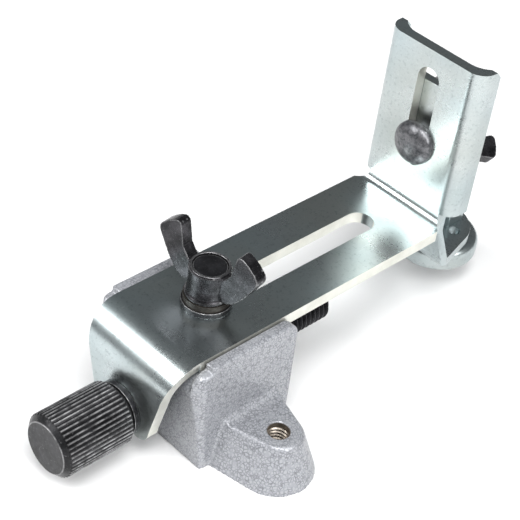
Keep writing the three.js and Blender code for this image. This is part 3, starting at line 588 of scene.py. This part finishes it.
class BRACKET_OT_base_casting(PieceOperator, Operator):
    """Base casting with its hammered paint, and the cut thread in its ear"""
    bl_idname = "bracket.base_casting"
    bl_label = "Base casting"

    def build(self):
        body = cast_skin("casting_body", "base_casting", sizes().cast_grain, 4)
        piece("casting_body", body, "base_casting", ["paint"], smooth_angle=60)
        self.tapped_hole()

    def tapped_hole(self):
        """A lining with a cut thread in the hole of the ear."""
        centre = Vector((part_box("base_casting")[1].x - EAR_FOOT_RADIUS, 0, 0))
        low = EAR_LINING_GAP
        high = EAR_TOP - EAR_LINING_GAP
        lining = spun([(EAR_LINING_INSIDE, low), (EAR_LINING_OUTSIDE, low), (EAR_LINING_OUTSIDE, high),
                       (EAR_LINING_INSIDE, high)], centre, Z_AXIS, sizes().turned_steps)
        pitch = sizes().fastener_pitch
        # one tooth, as (radius, part of the pitch)
        tooth = [(EAR_THREAD_ROOT, 0), (EAR_THREAD_CREST, 0.42), (EAR_THREAD_CREST, 0.52),
                 (EAR_THREAD_ROOT, 0.94)]
        ridge = bmesh.new()
        verts = [ridge.verts.new(centre + X_AXIS * r + Z_AXIS * (low + z * pitch)) for r, z in tooth]
        edges = [ridge.edges.new(pair) for pair in zip(verts, verts[1:])]
        edges.append(ridge.edges.new((verts[-1], verts[0])))
        turns = int((high - low) / pitch) - 1
        steps = sizes().thread_steps
        bmesh.ops.spin(ridge, geom=verts + edges, cent=centre, axis=Z_AXIS,
                       dvec=Z_AXIS * (pitch / steps), angle=math.tau * turns, steps=steps * turns,
                       use_merge=False)
        bmesh.ops.remove_doubles(ridge, verts=ridge.verts, dist=SEAM_WELD)
        bmesh.ops.holes_fill(ridge, edges=[e for e in ridge.edges if e.is_boundary], sides=0)
        bmesh.ops.recalc_face_normals(ridge, faces=ridge.faces)
        piece("ear_thread", joined(lining, ridge), "base_casting", ["tapped"], smooth_angle=30,
              stands_in=False)


class BRACKET_OT_sheet_parts(PieceOperator, Operator):
    """Slotted bracket with its sheared edges, and guide plate"""
    bl_idname = "bracket.sheet_parts"
    bl_label = "Sheet parts"

    def build(self):
        for node in ("slotted_bracket", "guide_plate"):
            bm = copied(node)
            if node == "slotted_bracket":
                mark_sheared(bm)
            broken_edges(bm, sizes().sheet_edge, angle=28)
            piece(node + "_sheet", bm, node, ["zinc", "edge"], smooth_angle=30)


def mark_sheared(bm):
    """Gives the bracket's sheared edges the second material."""
    bm.normal_update()
    upright_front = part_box("guide_plate")[0].y - UPRIGHT_REACH
    for face in bm.faces:
        centre = face.calc_center_median()
        sheared = abs(face.normal.x) > CUT_FACE
        if centre.y > upright_front:
            sheared = sheared and abs(centre.x) < UPRIGHT_SLOT_HALF
        face.material_index = 1 if sheared else 0


class BRACKET_OT_lead_screw(PieceOperator, Operator):
    """Lead screw with its helical thread and plain journal"""
    bl_idname = "bracket.lead_screw"
    bl_label = "Lead screw"

    def build(self):
        low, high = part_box("lead_screw")
        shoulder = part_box("slotted_bracket")[0].y + FLANGE_TO_SHOULDER
        centre = Vector((0, 0, (low.z + high.z) / 2))
        screw = thread((high.z - low.z) / 2, sizes().lead_pitch, shoulder, high.y, centre, Y_AXIS,
                       LEAD_CHAMFER)
        pin_end = shoulder + ROOT_OVERLAP
        pin = spun([(0, low.y), (JOURNAL_RADIUS - JOURNAL_CHAMFER, low.y),
                    (JOURNAL_RADIUS, low.y + JOURNAL_CHAMFER), (JOURNAL_RADIUS, pin_end), (0, pin_end)],
                   centre, Y_AXIS, JOURNAL_STEPS)
        piece("lead_screw_thread", joined(screw, pin), "lead_screw", ["black"], smooth_angle=40)


class BRACKET_OT_knob(PieceOperator, Operator):
    """Knurled knob and its grub screw"""
    bl_idname = "bracket.knob"
    bl_label = "Knurled knob"

    def build(self):
        knob = broken_edges(copied("knurled_knob"), KNURL_EDGE, angle=24, segments=1)
        piece("knob_body", knob, "knurled_knob", ["knurl"], smooth_angle=25)
        grub = broken_edges(copied("knob_grub_screw"), GRUB_EDGE, segments=1)
        piece("grub_screw_body", grub, "knob_grub_screw", ["black"])


class BRACKET_OT_wings(PieceOperator, Operator):
    """Cast wings of the clamp screw and of the rear nut"""
    bl_idname = "bracket.wings"
    bl_label = "Wings"

    def build(self):
        for node in ("clamp_wing_head", "rear_wing_nut"):
            body = cast_skin(node, node, sizes().wing_grain, 3)
            piece(node + "_casting", body, node, ["wings"], smooth_angle=60)


class BRACKET_OT_washers(PieceOperator, Operator):
    """Flat washers, split lock washers, thrust washer and spacer"""
    bl_idname = "bracket.washers"
    bl_label = "Washers"

    def build(self):
        kinds = {"clamp_flat_washer": ("black", "worn"), "clamp_lock_washer": ("lock", "lock"),
                 "rear_flat_washer": ("black", "worn"), "rear_lock_washer": ("lock", "lock"),
                 "thrust_washer": ("black", "worn"), "roller_spacer": ("steel", "steel")}
        for node, keys in kinds.items():
            bm = broken_edges(copied(node), sizes().turned_edge, worn=1)
            piece(node + "_ring", bm, node, keys, smooth_angle=40)


class BRACKET_OT_screws(PieceOperator, Operator):
    """Clamp stud, round-head bolt, pivot screw and lock nut"""
    bl_idname = "bracket.screws"
    bl_label = "Screws and nut"

    def build(self):
        for node, keys in (("clamp_stud", ("black", "worn")), ("roller_pivot_screw", ("steel", "steel")),
                           ("roller_lock_nut", ("zinc", "zinc"))):
            bm = broken_edges(copied(node), sizes().turned_edge, worn=1)
            piece(node + "_body", bm, node, keys, smooth_angle=40)
        self.bolt()

    def bolt(self):
        """Domed head, square neck and threaded shank of the bolt behind the upright."""
        low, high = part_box("round_head_bolt")
        centre = (low + high) / 2
        axis_point = Vector((0, 0, centre.z))
        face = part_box("rear_flat_washer")[0].y - WASHER_TO_HEAD
        radius = (high.z - low.z) / 2
        rise = face - low.y
        angles = [math.pi / 2 * i / DOME_STEPS for i in range(DOME_STEPS + 1)]
        dome = [(radius * math.sin(t), face - DOME_RIM * rise - (1 - DOME_RIM) * rise * math.cos(t))
                for t in angles]
        head = spun([*dome, (radius, face), (0, face)], axis_point, Y_AXIS, sizes().turned_steps)
        neck = bmesh.new()
        bmesh.ops.create_cube(neck, size=1.0)
        bmesh.ops.scale(neck, verts=neck.verts, vec=(2 * NECK_HALF, NECK_LENGTH, 2 * NECK_HALF))
        bmesh.ops.translate(neck, verts=neck.verts, vec=(0, face + NECK_LENGTH / 2, centre.z))
        shank = thread(BOLT_RADIUS, sizes().fastener_pitch, face + ROOT_OVERLAP, high.y, axis_point,
                       Y_AXIS, BOLT_CHAMFER)
        piece("round_head_bolt_body", joined(head, neck, shank), "round_head_bolt", ["phosphate"],
              smooth_angle=40)


class BRACKET_OT_roller(PieceOperator, Operator):
    """Guide roller"""
    bl_idname = "bracket.roller"
    bl_label = "Guide roller"

    def build(self):
        bm = broken_edges(copied("guide_roller"), sizes().turned_edge, angle=40)
        piece("roller_body", bm, "guide_roller", ["zinc"])


class BRACKET_OT_stage(PieceOperator, Operator):
    """Floor, lights and camera"""
    bl_idname = "bracket.stage"
    bl_label = "Stage"

    def build(self):
        studio = bpy.context.scene.bracket_studio
        self.floor(studio)
        self.world(studio)
        self.lights()
        self.camera(studio)

    def floor(self, studio):
        bm = bmesh.new()
        bmesh.ops.create_grid(bm, x_segments=1, y_segments=1, size=FLOOR_HALF)
        bmesh.ops.translate(bm, verts=bm.verts, vec=(0, 0, CAD_BOX[0].z - FLOOR_GAP))
        mesh = bpy.data.meshes.new("floor")
        bm.to_mesh(mesh)
        bm.free()
        floor = bpy.data.objects.new("floor", mesh)
        bpy.context.collection.objects.link(floor)
        net = Net("floor_paper")
        tone = net.span(net.noise(3, 2), 0.3, 0.7, studio.floor_tone - 0.01, studio.floor_tone)
        mesh.materials.append(net.finish(tone, 0.9, 0.0, fixed={"Specular IOR Level": 0.1}))

    def world(self, studio):
        world = bpy.data.worlds.new("studio")
        world.use_nodes = True
        back = world.node_tree.nodes["Background"]
        back.inputs[0].default_value = SKY_TINT
        back.inputs[1].default_value = studio.sky
        bpy.context.scene.world = world

    def lights(self):
        for name, place, size, power in LIGHTS:
            data = bpy.data.lights.new(name, "AREA")
            data.size = size
            data.energy = power
            light = bpy.data.objects.new(name, data)
            bpy.context.collection.objects.link(light)
            light.location = place
            aim = LIGHT_AIM - Vector(place)
            light.rotation_mode = "QUATERNION"
            light.rotation_quaternion = aim.to_track_quat("-Z", "Y")

    def camera(self, studio):
        data = bpy.data.cameras.new("camera")
        data.lens = studio.lens
        data.sensor_width = SENSOR_WIDTH
        camera = bpy.data.objects.new("camera", data)
        bpy.context.collection.objects.link(camera)
        flat = math.cos(studio.elevation)
        back = Vector((math.sin(studio.azimuth) * flat, -math.cos(studio.azimuth) * flat,
                       math.sin(studio.elevation)))
        camera.location = Vector(studio.target) + back * studio.distance
        camera.rotation_mode = "QUATERNION"
        level = (-back).to_track_quat("-Z", "Y")
        camera.rotation_quaternion = level @ Quaternion((0, 0, 1), studio.roll)
        data.clip_start = 0.01
        data.clip_end = 20
        bpy.context.scene.camera = camera
        bpy.context.scene.view_settings.view_transform = "Standard"


class BRACKET_PT_panel(Panel):
    """Lists the builders of the guide bracket"""
    bl_idname = "BRACKET_PT_panel"
    bl_label = "Guide bracket"
    bl_space_type = "VIEW_3D"
    bl_region_type = "UI"
    bl_category = "Guide bracket"

    def draw(self, context):
        for name in GROUPS:
            group = getattr(context.scene, name)
            box = self.layout.box()
            for key in group.bl_rna.properties.keys():
                if key not in ("rna_type", "name"):
                    box.prop(group, key)
        for builder in BUILDERS:
            self.layout.operator(builder.bl_idname)


BUILDERS = (
    BRACKET_OT_stage, BRACKET_OT_base_casting, BRACKET_OT_sheet_parts, BRACKET_OT_lead_screw,
    BRACKET_OT_knob, BRACKET_OT_wings, BRACKET_OT_washers, BRACKET_OT_screws, BRACKET_OT_roller,
)
GROUPS = {
    "bracket_sizes": BracketSizes, "bracket_finishes": BracketFinishes, "bracket_studio": BracketStudio,
}


def register():
    for cls in (*GROUPS.values(), *BUILDERS, BRACKET_PT_panel):
        bpy.utils.register_class(cls)
    for name, cls in GROUPS.items():
        setattr(bpy.types.Scene, name, PointerProperty(type=cls))


def unregister():
    for name in GROUPS:
        delattr(bpy.types.Scene, name)
    for cls in reversed((*GROUPS.values(), *BUILDERS, BRACKET_PT_panel)):
        bpy.utils.unregister_class(cls)


def main():
    register()
    for builder in BUILDERS:
        group, name = builder.bl_idname.split(".")
        getattr(getattr(bpy.ops, group), name)()


if __name__ == "__main__":
    main()
